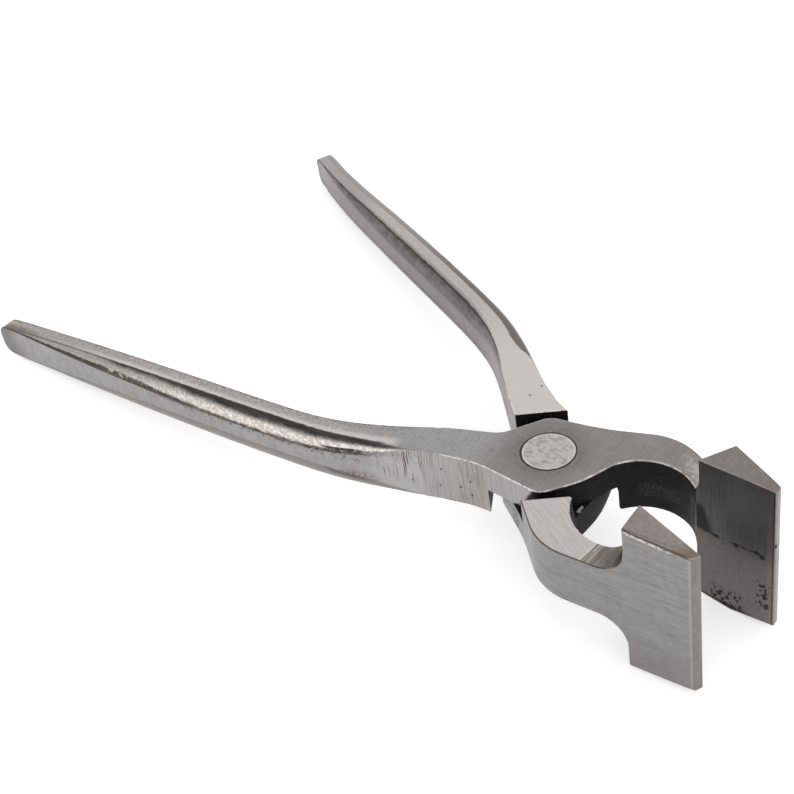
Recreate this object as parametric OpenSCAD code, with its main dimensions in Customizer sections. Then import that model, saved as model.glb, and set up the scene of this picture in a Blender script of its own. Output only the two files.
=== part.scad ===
// Wide-jaw hand pliers: two forged halves lapped on one flush rivet.
// The halves are one forging turned over, so each is drawn once, closed,
// and then swung open about the rivet.

/* [Joint] */
// Thickness of the tool at the joint, mm
joint_t = 16; // [14:0.5:18]
// Gap between the two lapped faces, mm
lap_gap = 0.1; // [0.04:0.02:0.2]
// Rivet centre to the shoulder on the handle side, mm
lap_rear = 15.8; // [15.4:0.1:17]
// Rivet centre to the shoulder on the jaw side, mm
lap_front = 17.2; // [16.8:0.1:18]
// Slant of both shoulders, degrees
lap_angle = 30; // [26:1:34]
// Full angle between the halves as the tool lies, degrees
open_angle = 23.4; // [0:0.2:60]

/* [Rivet] */
// Rivet shank diameter, mm
rivet_d = 9; // [7:0.5:11]
// Diameter of the flush rivet heads, mm
head_d = 14.2; // [12.5:0.1:16]
// Depth of each countersunk head, mm
head_t = 2.6; // [1.5:0.1:4]
// Straight rim of each head above its cone, mm
head_rim = 0.5; // [0.2:0.1:1]
// Running clearance round the rivet in the lower half, mm
rivet_fit = 0.05; // [0.02:0.01:0.1]

/* [Jaws] */
// Rivet centre to the jaw tip, mm
jaw_reach = 62.8; // [58:0.2:72]
// Height of the jaw plates, mm
jaw_h = 44.5; // [30:0.5:70]
// Length of the gripping face, mm
face_l = 20.8; // [18:0.2:24]
// Gap left behind the meeting tips on each side, mm
face_relief = 1.5; // [0.5:0.1:2]
// Gap between each tip and the middle when closed, mm
tip_gap = 0.03; // [0.01:0.01:0.1]
// Width of the blunt strip at the tip, mm
tip_w = 2.4; // [1.6:0.1:3.4]
// Slope of the jaw's outer face to the tool's axis, degrees
jaw_taper = 26.6; // [25:0.2:28]
// Slant of the jaw's rear face to the tool's axis, degrees
back_angle = 59.6; // [55:0.2:65]
// Radius between the arm and the jaw's rear face, mm
jaw_fillet = 8; // [3:0.5:9]

/* [Arms] */
// Radius of the throat behind the jaws, mm
throat_r = 13.8; // [13:0.1:14.2]
// Rivet centre to the throat centre along the tool, mm
throat_x = 28.6; // [28:0.1:29.2]
// Throat centre below the closed middle line, mm
throat_drop = 3.9; // [3.6:0.1:4.4]
// Direction from the throat centre to its edge at the joint, degrees
throat_start = 148; // [144:1:152]
// Rivet centre to the widest place of the arm, mm
arm_peak_x = 26; // [24:0.5:28]
// Radius round the widest place of the arm, mm
arm_peak_r = 17; // [10:1:20]
// Half width of the joint on the arm side, mm
joint_far = 12.8; // [12:0.1:13.6]
// Half width of the joint on the side of its own handle, mm
joint_near = 13.4; // [12.8:0.1:14]

/* [Handles] */
// Rivet centre to the handle end, mm
handle_l = 188; // [150:0.2:230]
// How much shorter the lower handle is, mm
lower_short = 1.6; // [0:0.1:4]
// Rivet centre to the start of the bevels, mm
bevel_x = 30; // [27:0.5:34]
// Rivet centre to the bend of the handle, mm
bend_x = 54.8; // [50:0.2:62]
// Bend of the handle out from the tool's axis, mm
bend_out = 21.4; // [19:0.2:26]
// Softness of the bend, mm
bend_soft = 13; // [6:0.5:16]
// Slant of the handle between joint and bend, degrees
root_angle = 21.8; // [19:0.2:24]
// Slant of the grip behind the bend, degrees
grip_angle = 2; // [0:0.1:6]
// How far the upper handle is set out at the joint, and the lower in, degrees
handle_set = 0.2; // [0:0.05:1.5]
// How far the upper grip is bent out behind the bend, and the lower in, degrees
grip_set = 1.1; // [0:0.1:2]
// Width of the handle where it leaves the joint, mm
root_w = 10.5; // [9:0.1:12]
// Width of the grip, mm
grip_w = 9.2; // [8:0.1:11]
// Width of the handle at its end, mm
end_w = 5.2; // [4.6:0.1:8]
// Thickness of the handle at its end, mm
end_t = 10.4; // [8:0.2:14]
// Width of the flat along the top of the grip, mm
flat_w = 4.5; // [2.5:0.1:5]
// Height of the flat along the side of the grip, mm
side_h = 5.6; // [4:0.1:9]
// Length over which the top flat narrows, mm
flat_run = 45; // [25:1:60]
// Length over which the side flat narrows, mm
side_run = 40; // [25:1:60]
// Swell of the bevels over a straight chamfer, share of their width
bevel_swell = 0.12; // [0:0.02:0.2]
// Length of the rounded nose at the handle end, mm
nose_l = 4.5; // [3:0.5:8]

/* [Hidden] */
$fn = 96;

half_t = joint_t / 2;
shank_r = rivet_d / 2;
head_r = head_d / 2;
arc_step = 6;
over = 1;
reach = jaw_reach + jaw_h;

// Direction of the jaw's outer face, and corners of the jaw seen from above
taper_dir = [cos(jaw_taper), -sin(jaw_taper)];
face_rear = [jaw_reach - face_l, face_relief];
face_tip = [jaw_reach, tip_gap];
outer_tip = [jaw_reach - 0.2, tip_w];

// Throat circle and the place where it runs out at the joint
throat = [throat_x, -throat_drop];
throat_edge = throat + throat_r * [cos(throat_start), sin(throat_start)];

// Widest place of the arm, on the plane of the outer jaw face
arm_peak = outer_tip + (arm_peak_x - outer_tip[0]) / taper_dir[0] * taper_dir;

// Where the handle leaves the joint
root_x = bevel_x - 6;
root_out = 8.8;
root_flare = 0.4;
root_run = 25;
ease = 0.3;

// Where the handle thins towards its end, and how sharply
nose_x = handle_l - nose_l;
nose_w = 0.8;
nose_power = 0.7;
thin_w_x = nose_x - 74;
thin_w_power = 1.6;
thin_t_x = 60;
thin_t_power = 2.6;

// Growth of the side flat as the handle narrows, and the outward turn of the lower handle's end
end_side = 1.3;
lower_end_x = nose_x - 34;
lower_end_out = 1.8;

// Corners of the joint before rounding, [x, y, radius]: first the side of the half's own handle
near_flank = [-14, 0.8 - joint_near, 30];
near_corner = [6.4, -1 - joint_near, 4.5];
near_front = [13.2, -5.9, 30];
far_front = [8.5, 1.7 + joint_far, 50];
far_corner = [-7.3, joint_far - 1.3, 5];
far_rear = [-15, 0, 7];
tip_round = 0.5;
tip_back_round = 0.8;

// Ground ends of the jaw plates: a shallow ridge across the upper half's, a lean on the lower's
end_drop = 1.3;
end_ridge_x = 50.5;
upper_leans = [8, -7];
lower_lean = [-9.3, -0.9];

function clamp01(k) = min(1, max(0, k));
function mix(a, b, k) = a + (b - a) * k;
function eased(k) = 1 - pow(1 - clamp01(k), 2);
function smooth(k) = let (c = clamp01(k)) c * c * (3 - 2 * c);

// Middle of the handle, out from the tool's axis: two slopes joined by a soft bend,
// set out on the upper half (hand = 1) and in on the lower (hand = -1)
function bend(x, hand) =
    let (u = x - bend_x, a = tan(root_angle), b = tan(grip_angle + hand * grip_set))
    bend_out + (a + b) / 2 * u - (a - b) / 2 * norm([u, bend_soft]);
function middle(x, hand) = (x < bevel_x ? root_out : bend(x, hand)) + hand * x * tan(handle_set)
    + (hand < 0 ? lower_end_out * pow(clamp01((x - lower_end_x) / (nose_x - lower_end_x)), 2) : 0);

// Half sizes of a handle section, x behind the rivet: width, thickness and the two flats
function half_w(x) = mix(
    mix(root_w, grip_w, smooth((x - bevel_x) / root_run)),
    end_w, pow(clamp01((x - thin_w_x) / (nose_x - thin_w_x)), thin_w_power)) / 2;
function half_h(x) =
    mix(joint_t, end_t, pow(clamp01((x - thin_t_x) / (nose_x - thin_t_x)), thin_t_power)) / 2;
function narrowed(x) = max(0, grip_w / 2 - half_w(x));
function flat(x) = min(half_w(x) - ease, mix(root_w, flat_w, eased((x - bevel_x) / flat_run)) / 2);
function side(x) = min(half_h(x) - ease,
    mix(joint_t, side_h, eased((x - bevel_x) / side_run)) / 2 + end_side * narrowed(x));

// One corner of a section, from the top flat round the swollen bevel to the side flat
bevel_steps = 4;
function corner(f, w, s, h) = [for (i = [0:bevel_steps])
    let (k = i / bevel_steps, swell = 4 * bevel_swell * k * (1 - k) * clamp01(2 * w / grip_w))
    [mix(f, w, k) + swell * (h - s), mix(h, s, k) + swell * (w - f)]];
function turned(pts, sy, sz) = [for (p = pts) [sy * p[0], sz * p[1]]];
function backwards(pts) = [for (i = [len(pts) - 1:-1:0]) pts[i]];
function section(x, rise, girth) =
    let (c = corner(flat(x) * girth, half_w(x) * girth, side(x) * rise, half_h(x) * rise))
    concat(turned(c, 1, 1), backwards(turned(c, 1, -1)),
        turned(c, -1, -1), backwards(turned(c, -1, 1)));
function drawn_in(x, hand) =
    hand < 0 ? lower_short * clamp01((x - thin_w_x) / (nose_x - thin_w_x)) : 0;
function ring(x, hand, rise = 1, girth = 1) =
    [for (p = section(min(x, nose_x), rise, girth))
        [drawn_in(x, hand) - x, p[0] - middle(x, hand), p[1]]];

// Corners rounded by arcs: each point is [x, y, radius], sharp where the radius is 0
function unit(v) = v / norm(v);
function xy(p) = [p[0], p[1]];
function arc_at(a, b, c, r) =
    let (u = unit(a - b), v = unit(c - b), half = acos(u * v) / 2,
         mid = b + unit(u + v) * r / sin(half), p = b + u * r / tan(half) - mid,
         q = b + v * r / tan(half) - mid, a0 = atan2(p[1], p[0]), full = atan2(q[1], q[0]) - a0,
         sweep = full > 180 ? full - 360 : full < -180 ? full + 360 : full,
         n = max(2, ceil(abs(sweep) / arc_step)))
    [for (i = [0:n]) mid + r * [cos(a0 + sweep * i / n), sin(a0 + sweep * i / n)]];
function rounded(pts) = let (n = len(pts)) [for (i = [0:n - 1])
    each pts[i][2] == 0 ? [xy(pts[i])]
        : arc_at(xy(pts[(i + n - 1) % n]), xy(pts[i]), xy(pts[(i + 1) % n]), pts[i][2])];
function corner_at(p, r = 0) = [p[0], p[1], r];

// Point on the handle's edge, on its outer side for s = -1 and its inner side for s = 1
function root_edge(x, hand, s, flare = 0) = [-x, s * (half_w(x) + flare) - middle(x, hand), 0];

// One half seen from above, from the start of the bevels to the jaw tip
module outline(hand) {
    difference() {
        polygon(rounded([
            root_edge(bevel_x, hand, -1),
            root_edge(root_x, hand, -1, root_flare),
            near_flank, near_corner, near_front,
            corner_at(throat_edge), corner_at(face_rear),
            corner_at(face_tip, tip_round), corner_at(outer_tip, tip_back_round),
            corner_at(arm_peak, arm_peak_r),
            far_front, far_corner, far_rear,
            root_edge(root_x, hand, 1, root_flare),
            root_edge(bevel_x, hand, 1)
        ]));
        intersection() {
            translate(throat) circle(throat_r);
            polygon([throat_edge, throat_edge + [0, throat_r], face_rear + [0, throat_r],
                face_rear, throat_edge - [0, over]]);
        }
    }
}

// Arm and jaw seen along the jaw's rear face: low arm, tall jaw and the two fillets
module jaw_profile() {
    translate([-reach, -half_t]) square([reach + over, joint_t]);
    translate([0, -jaw_h / 2 - end_drop]) square([reach, jaw_h + end_drop]);
    for (s = [0, 1])
        mirror([0, s]) translate([-jaw_fillet, half_t]) difference() {
            square([jaw_fillet + over, jaw_fillet]);
            translate([0, jaw_fillet]) circle(jaw_fillet);
        }
}

module arm_and_jaw(hand) {
    intersection() {
        linear_extrude(jaw_h + 2 * end_drop, center = true) outline(hand);
        translate(face_rear) rotate([90, 0, back_angle - 90])
            linear_extrude(2 * reach, center = true) jaw_profile();
    }
}

// Handle lofted through its sections and closed by a rounded nose
body_rings = 40;
ring_power = 1.5;
nose_rings = 6;
nose_turn = 80;
module handle(hand) {
    rings = concat(
        [for (i = [0:body_rings])
            ring(mix(bevel_x, nose_x, pow(i / body_rings, ring_power)), hand)],
        [for (i = [1:nose_rings]) let (a = nose_turn * i / nose_rings)
            ring(nose_x + nose_l * sin(a), hand, pow(cos(a), nose_power), mix(nose_w, 1, cos(a)))]);
    n = len(rings[0]);
    last = len(rings) - 1;
    polyhedron([for (r = rings) each r], concat(
        [[for (j = [0:n - 1]) j]],
        [[for (j = [0:n - 1]) last * n + n - 1 - j]],
        [for (i = [0:last - 1], j = [0:n - 1]) let (a = i * n, b = a + n, k = (j + 1) % n)
            each [[a + j, b + k, a + k], [a + j, b + j, b + k]]]));
}

// Rivet from face to face, made larger all round by a clearance for its seat
module rivet_form(gap, proud) {
    top = half_t + proud;
    rotate_extrude() polygon([
        [0, -top], [head_r + gap, -top], [head_r + gap, head_rim - half_t],
        [shank_r + gap, head_t - half_t], [shank_r + gap, half_t - head_t],
        [head_r + gap, half_t - head_rim], [head_r + gap, top], [0, top]
    ]);
}

// Plane that trims the turned-over end of a jaw plate, through p and leaning both ways
module end_trim(p, lean) {
    translate(p) rotate([lean[0], lean[1], 0]) translate([-reach, -reach, -2 * reach])
        cube(2 * reach);
}

// One half, closed, with its lap on the upper side and its handle at the near side.
// Its children are cut from it.
module half(hand, gap) {
    difference() {
        union() {
            arm_and_jaw(hand);
            handle(hand);
        }
        children();
        rotate(lap_angle) translate([-lap_rear, -reach / 2, -half_t - over])
            cube([lap_rear + lap_front, reach, half_t + over + lap_gap / 2]);
        rivet_form(gap, over);
    }
}

module upper_half() {
    color("silver") translate([0, 0, half_t]) rotate(open_angle / 2) half(1, 0)
        for (lean = upper_leans) end_trim([end_ridge_x, 0, -jaw_h / 2 - end_drop], [0, lean]);
}

module lower_half() {
    color("silver") translate([0, 0, half_t]) rotate(-open_angle / 2)
        rotate([180, 0, 0]) half(-1, rivet_fit)
            end_trim([face_rear[0], face_rear[1], -jaw_h / 2], lower_lean);
}

module rivet() {
    color("gainsboro") translate([0, 0, half_t]) rivet_form(0, 0);
}

upper_half();
lower_half();
rivet();
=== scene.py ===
from math import cos, hypot, radians, sin, tan

import bpy
from mathutils import Matrix, Vector


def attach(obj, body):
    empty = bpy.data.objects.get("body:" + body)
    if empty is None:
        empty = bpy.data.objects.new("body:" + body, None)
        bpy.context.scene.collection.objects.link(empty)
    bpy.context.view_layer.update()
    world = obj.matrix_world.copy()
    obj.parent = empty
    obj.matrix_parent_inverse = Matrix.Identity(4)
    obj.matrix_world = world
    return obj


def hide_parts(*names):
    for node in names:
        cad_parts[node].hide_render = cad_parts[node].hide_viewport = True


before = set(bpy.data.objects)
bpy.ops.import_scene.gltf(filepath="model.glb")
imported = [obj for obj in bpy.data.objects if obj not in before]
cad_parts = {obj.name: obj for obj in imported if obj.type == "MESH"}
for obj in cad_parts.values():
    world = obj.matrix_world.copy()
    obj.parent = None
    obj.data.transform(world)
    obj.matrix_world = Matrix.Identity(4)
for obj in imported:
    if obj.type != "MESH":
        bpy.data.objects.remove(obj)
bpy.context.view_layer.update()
scene = bpy.context.scene
print("frame loaded:", sorted(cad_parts))

mm = 0.001


def linear(hexText):
    parts = [int(hexText[i:i + 2], 16) / 255 for i in (0, 2, 4)]
    return [c / 12.92 if c <= 0.04045 else ((c + 0.055) / 1.055) ** 2.4 for c in parts] + [1.0]


# One call per node: its settings by name, its inputs as values or as the sockets that feed them
def addNode(tree, kind, inputs=None, **settings):
    node = tree.nodes.new("ShaderNode" + kind)
    for name, value in settings.items():
        setattr(node, name, value)
    for name, value in (inputs or {}).items():
        if isinstance(value, bpy.types.NodeSocket):
            tree.links.new(value, node.inputs[name])
        else:
            node.inputs[name].default_value = value
    return node


# Camera: solved from the photograph, in metres; the lens and the square frame's width are in mm
view = {
    "place": (0.209357, -0.181261, 0.258777),
    "right": (0.63634, 0.75830, -0.14161),
    "down": (0.40819, -0.48677, -0.77230),
    "forward": (-0.65456, 0.43364, -0.61928),
    "lens": 65.18, "frameWidth": 36, "nearest": 0.01, "furthest": 20,
}
camera = bpy.data.objects.new("camera", bpy.data.cameras.new("camera"))
scene.collection.objects.link(camera)
camera.data.lens = view["lens"]
camera.data.sensor_width = view["frameWidth"]
camera.data.clip_start, camera.data.clip_end = view["nearest"], view["furthest"]
axes = Matrix([view["right"], [-c for c in view["down"]], [-c for c in view["forward"]]]).transposed()
camera.matrix_world = Matrix.Translation(view["place"]) @ axes.to_4x4()
scene.camera = camera
scene.view_settings.view_transform = "Standard"
print("camera set")

# The two halves are one forging: both are described closed, with the handle at the near side.
# Sizes are the CAD's, in mm and degrees, and give each face its place on the forging.
forging = {
    "swing": 11.7,                        # each half is swung open this far
    "midZ": 8.0,                          # middle of the joint's thickness
    "jointTop": 7.5,                      # flats above this are outside ones, those below lie in the lap
    "bevelStart": 30.0,                   # behind this the handle's bevels begin
    "bend": {"place": 54.8, "height": 21.4, "softness": 13.0, "rootAngle": 21.8, "gripAngle": 2.0},
    "handleSet": 0.2, "gripSet": 1.1,     # hand setting, out on the upper half and in on the lower
    "handleEnd": 183.5, "lowerEndRun": 34, "lowerEndOut": 1.8,
    "lapTurn": 30.0, "lapRear": -15.8, "lapFront": 17.2,
    "throat": (28.6, -3.9, 13.8),         # its centre and radius
    "seatReach": 8,                       # walls nearer the pivot than this are the rivet's seat
    "flankFront": 5.5, "armStart": 2.5, "armOut": 6,
    "filletStart": 30, "jawStart": 40, "tipStart": 62.2, "jawEndHeight": 20, "backAngle": 59.6,
}


def closedPlace(p, half):
    a = radians(forging["swing"])
    x, y, z = p[0] / mm, p[1] / mm, p[2] / mm - forging["midZ"]
    if half == "upper":
        return Vector((x * cos(a) + y * sin(a), -x * sin(a) + y * cos(a), z))
    return Vector((x * cos(a) - y * sin(a), -x * sin(a) - y * cos(a), -z))


def closedTurn(n, half):
    return closedPlace(Vector(n) * mm + Vector((0, 0, forging["midZ"] * mm)), half)


def share(value, start, run):
    return min(1, max(0, (value - start) / run))


def smooth(k):
    return k * k * (3 - 2 * k)


def mix(a, b, k):
    return a + (b - a) * k


# Section of the handle: widths and thicknesses in mm, and where behind the pivot each change begins or runs
handle = {
    "rootWidth": 10.5, "gripWidth": 9.2, "endWidth": 5.2, "widthRun": 25, "endRun": 74, "endPower": 1.6,
    "rootThick": 16, "endThick": 10.4, "thinStart": 60, "thinPower": 2.6,
    "flat": 4.5, "flatRun": 45, "side": 5.6, "sideRun": 40, "endSide": 1.3,
    "leastBevel": 0.3,
    "cutEvery": 4,            # the mesh is cut across this often, so that its map follows the taper
}


# Middle line of the handle at x mm behind the pivot
def handleMiddle(x, half):
    hand = 1 if half == "upper" else -1
    bend = forging["bend"]
    past = x - bend["place"]
    rootSlope = tan(radians(bend["rootAngle"]))
    gripSlope = tan(radians(bend["gripAngle"] + hand * forging["gripSet"]))
    middle = bend["height"] + (rootSlope + gripSlope) / 2 * past
    middle -= (rootSlope - gripSlope) / 2 * hypot(past, bend["softness"])
    middle += hand * x * tan(radians(forging["handleSet"]))
    if half == "lower":
        endStart = forging["handleEnd"] - forging["lowerEndRun"]
        middle += forging["lowerEndOut"] * share(x, endStart, forging["lowerEndRun"]) ** 2
    return middle


# Half the sizes of its flats and sides there
def handleSection(x):
    start, end = forging["bevelStart"], forging["handleEnd"]
    gripWidth = mix(handle["rootWidth"], handle["gripWidth"], smooth(share(x, start, handle["widthRun"])))
    toEnd = share(x, end - handle["endRun"], handle["endRun"]) ** handle["endPower"]
    width = mix(gripWidth, handle["endWidth"], toEnd) / 2
    thinned = share(x, handle["thinStart"], end - handle["thinStart"]) ** handle["thinPower"]
    height = mix(handle["rootThick"], handle["endThick"], thinned) / 2
    flatEase = 1 - (1 - share(x, start, handle["flatRun"])) ** 2
    flat = min(width - handle["leastBevel"], mix(handle["rootWidth"], handle["flat"], flatEase) / 2)
    sideEase = 1 - (1 - share(x, start, handle["sideRun"])) ** 2
    wider = handle["endSide"] * max(0, handle["gripWidth"] / 2 - width)
    side = min(height - handle["leastBevel"], mix(handle["rootThick"], handle["side"], sideEase) / 2 + wider)
    return flat, width, side, height


def onHandle(x):
    return x < -forging["bevelStart"] + 0.05


# Which surface of the forging a face belongs to, from its middle and normal in the closed place
def surfaceOf(c, n, half):
    flatness = abs(n.z)
    if onHandle(c.x):
        if flatness > 0.985:
            return "topFlat"
        outer = c.y + handleMiddle(-c.x, half) < 0
        return ("gripSide" if flatness < 0.03 else "gripBevel") + ("Outer" if outer else "Inner")
    if flatness > 0.95:
        if abs(c.z) > forging["jawEndHeight"]:
            return "jawEnd"
        return "topFlat" if abs(c.z) > forging["jointTop"] else "lapFlat"
    if c.x > forging["filletStart"] and flatness > 0.02:
        return "fillet"
    if hypot(c.x, c.y) < forging["seatReach"]:
        return "rivetSeat"
    lap = radians(forging["lapTurn"])
    along = c.x * cos(lap) + c.y * sin(lap)
    fromLap = min(abs(along - forging["lapRear"]), abs(along - forging["lapFront"]))
    if fromLap < 0.1 and abs(n.x * cos(lap) + n.y * sin(lap)) > 0.98:
        return "lapShoulder"
    throatX, throatY, throatR = forging["throat"]
    x, y = c.x - throatX, c.y - throatY
    if abs(hypot(x, y) - throatR) < 0.3 and n.x * x + n.y * y < 0:
        return "throatWall"
    if c.x > forging["jawStart"] and n.y < -0.9:
        return "jawFace"
    back = radians(forging["backAngle"])
    if c.x > forging["jawStart"] and n.x * sin(back) - n.y * cos(back) < -0.98:
        return "jawRear"
    if c.x > forging["tipStart"]:
        return "tipStrip"
    if c.x < forging["flankFront"] and c.y < 0:
        return "flankSide"
    if c.y < 0 or (c.y < forging["armOut"] and c.x > forging["armStart"] and n.x > 0.1):
        return "frontWall"
    return "outerSide"


# Finish of each surface, and which way the grinding lines run on it
# (a bearing in degrees on flats; "up", "back" or "round" on walls; "along" or "across" on the handle)
surfaces = {
    "gripSideOuter": ("gripSideOuter", "across"), "gripSideInner": ("gripSideInner", "across"),
    "gripBevelOuter": ("gripBevelOuter", "along"), "gripBevelInner": ("gripBevelInner", "along"),
    "jawEnd": ("jawEnd", -33), "topFlat": ("topFlat", 105), "lapFlat": ("forgeScale", 0),
    "fillet": ("fillet", "back"), "rivetSeat": ("forgeScale", 0), "lapShoulder": ("forgeScale", "up"),
    "throatWall": ("forgeScale", "round"), "jawFace": ("jawFace", "up"), "jawRear": ("jawOuter", "up"),
    "tipStrip": ("tipStrip", "up"), "frontWall": ("forgeScale", "up"), "flankSide": ("flankSide", "up"),
    "outerSide": ("jawOuter", "round"),
}


def pickOnly(obj, mode="OBJECT"):
    if bpy.context.object and bpy.context.object.mode != "OBJECT":
        bpy.ops.object.mode_set(mode="OBJECT")
    bpy.ops.object.select_all(action="DESELECT")
    obj.select_set(True)
    bpy.context.view_layer.objects.active = obj
    if mode != "OBJECT":
        bpy.ops.object.mode_set(mode=mode)


# A copy of the CAD half with its flat faces whole again, cut across the handle every few mm
def mergedCopy(nodeName, half):
    piece = bpy.data.objects.new(nodeName + "_steel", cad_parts[nodeName].data.copy())
    scene.collection.objects.link(piece)
    piece.data.materials.clear()
    pickOnly(piece, "EDIT")
    bpy.ops.mesh.select_all(action="SELECT")
    bpy.ops.mesh.remove_doubles(threshold=2e-6)
    bpy.ops.mesh.dissolve_limited(angle_limit=radians(0.4))
    a = radians(forging["swing"] if half == "upper" else -forging["swing"])
    across = Vector((cos(a), sin(a), 0))
    start, step = forging["bevelStart"], handle["cutEvery"]
    for cut in range(int((forging["handleEnd"] - start) / step) + 1):
        x = -(start + step * cut) * mm
        bpy.ops.mesh.select_all(action="SELECT")
        bpy.ops.mesh.bisect(plane_co=across * x, plane_no=across, threshold=1e-6)
    bpy.ops.object.mode_set(mode="OBJECT")
    return piece


def sharpEdges(mesh, least):
    faces = {}
    for poly in mesh.polygons:
        for key in poly.edge_keys:
            faces.setdefault(key, []).append(poly.normal)
    for edge in mesh.edges:
        around = faces.get(edge.key, [])
        if len(around) == 2 and around[0].angle(around[1], 0) > radians(least):
            yield edge


# Rounding of the edges, in mm in the closed place
edges = {
    "shoulder": {"radius": 1.2, "segments": 4},
    "ground": {"radius": 0.28, "segments": 2},
    "sharpest": 28,           # degrees between two faces, above which their edge is a sharp one
    "flatHeight": 7.4,        # an edge above this lies round a flat of the joint or arm
    "jawStart": 39,           # one ahead of this is on the jaw plate
    "tipStart": 60,
    "outwards": 1.5, "keptSharp": (52, 62),    # the jaw ends' outer edges are left sharp between these
    "plateHeight": 8.6,       # one above this, or ahead of the next, is on the jaw plate or its root
    "tipFace": 61, "tipFront": 61.6, "rootEnd": 47, "rootOutwards": 7, "innerFace": 1.8,
}


# Bevels the edges that the test picks, from their two ends in the closed place
def bevelWhere(piece, half, test, rounding, slot):
    mesh = piece.data
    pickOnly(piece, "EDIT")
    bpy.ops.mesh.select_mode(type="EDGE")
    bpy.ops.mesh.select_all(action="DESELECT")
    bpy.ops.object.mode_set(mode="OBJECT")
    picked = 0
    for edge in sharpEdges(mesh, edges["sharpest"]):
        if test(*[closedPlace(mesh.vertices[v].co, half) for v in edge.vertices]):
            edge.select = True
            picked += 1
    bpy.ops.object.mode_set(mode="EDIT")
    bpy.ops.mesh.bevel(offset=rounding["radius"] * mm, offset_type="OFFSET", segments=rounding["segments"],
                       profile=0.5, affect="EDGES", clamp_overlap=False, material=slotNames.index(slot))
    bpy.ops.object.mode_set(mode="OBJECT")
    print(piece.name, "edges rounded:", picked)


def shoulderCorner(a, b):
    lap = radians(forging["lapTurn"])
    upright = hypot(a.x - b.x, a.y - b.y) < 0.02 and abs(a.z - b.z) > 5
    along = a.x * cos(lap) + a.y * sin(lap)
    return upright and abs(along - forging["lapFront"]) < 0.2 and a.y < 8


def groundEdge(a, b):
    inSeat = max(hypot(a.x, a.y), hypot(b.x, b.y)) < forging["seatReach"]
    if onHandle(min(a.x, b.x)) or inSeat:
        return False
    rear, front = edges["keptSharp"]
    onJawEnd = min(abs(a.z), abs(b.z)) > forging["jawEndHeight"]
    outside = min(a.y, b.y) > edges["outwards"]
    if onJawEnd and outside and min(a.x, b.x) < front and max(a.x, b.x) > rear:
        return False
    if a.z * b.z < 0 and max(a.x, b.x) < edges["tipStart"]:
        return False
    return min(a.x, b.x) > edges["jawStart"] or min(abs(a.z), abs(b.z)) > edges["flatHeight"]


# How a rounded edge has worn: bright where the flats were ground, dull or dark where they weren't
def edgeKind(c, half):
    seenUp = c.z if half == "upper" else -c.z
    belowEnd = abs(c.z) < forging["jawEndHeight"]
    if c.x > edges["tipFace"] or abs(c.z) > edges["plateHeight"]:
        if c.x < edges["rootEnd"] and belowEnd:
            return "forgeScale" if c.y < edges["rootOutwards"] else "fillet"
        ground = c.y < edges["innerFace"] or c.x > edges["tipFront"] or belowEnd
        return "edgeDull" if ground else "edgeDark"
    if abs(c.z) > edges["flatHeight"]:
        throatX, throatY, throatR = forging["throat"]
        byThroat = hypot(c.x - throatX, c.y - throatY) < throatR + 0.5
        if byThroat or (c.x > forging["armStart"] and c.y < 2) or c.x < 4:
            return "edgeWorn" if seenUp > 0 else "forgeScale"
        return "edgeDark"
    return "edgeDull"


def dressHalf(nodeName, half):
    piece = mergedCopy(nodeName, half)
    mesh = piece.data
    for name in slotNames:
        mesh.materials.append(finishes[half][name])
    for poly in mesh.polygons:
        surface = surfaceOf(closedPlace(poly.center, half), closedTurn(poly.normal, half), half)
        poly.material_index = slotNames.index(surfaces[surface][0])
    bevelWhere(piece, half, shoulderCorner, edges["shoulder"], "forgeScale")
    bevelWhere(piece, half, groundEdge, edges["ground"], "edgeDull")
    for poly in mesh.polygons:
        if slotNames[poly.material_index] == "edgeDull":
            c, n = closedPlace(poly.center, half), closedTurn(poly.normal, half)
            kind = surfaces[surfaceOf(c, n, half)][0] if abs(n.z) > 0.97 else edgeKind(c, half)
            poly.material_index = slotNames.index(kind)
    mapSteel(piece, half)
    bpy.ops.object.shade_smooth_by_angle(angle=radians(30))
    weighted = piece.modifiers.new("flats stay flat", "WEIGHTED_NORMAL")
    weighted.keep_sharp = True
    bpy.ops.object.modifier_apply(modifier=weighted.name)
    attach(piece, half)
    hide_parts(nodeName)
    return piece


# Two maps. steelMap, in mm/100: first number along the grinding lines, second across them.
# handleMap: first number mm/100 behind the pivot, second a tenth of the place round the handle:
# 0 at the flat's middle, 1 at its edge, 2 to 4 down the side, less than 0 on the inner side.
def handleZone(p, n, half):
    x, out = -p.x, -(p.y + handleMiddle(-p.x, half))
    flat, width, side, height = handleSection(x)
    hand, off, z = (1 if out > 0 else -1), abs(out), abs(p.z)
    seenUp = p.z if half == "upper" else -p.z
    if abs(n.z) > 0.985:
        return out / flat
    if abs(n.z) < 0.03:
        return hand * (3 - seenUp / side)
    dx, dz = width - flat, side - height
    k = ((off - flat) * dx + (z - height) * dz) / (dx * dx + dz * dz)
    return hand * (1 + min(1, max(0, k)))


def lineDirection(way, half):
    if way == "up":
        return Vector((0, 0, 1))
    if way == "back":
        back = radians(forging["backAngle"])
        return Vector((cos(back), sin(back), 0))
    hand = 1 if half == "upper" else -1
    a = radians(way - hand * forging["swing"])
    return Vector((cos(a), hand * sin(a), 0))


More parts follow.
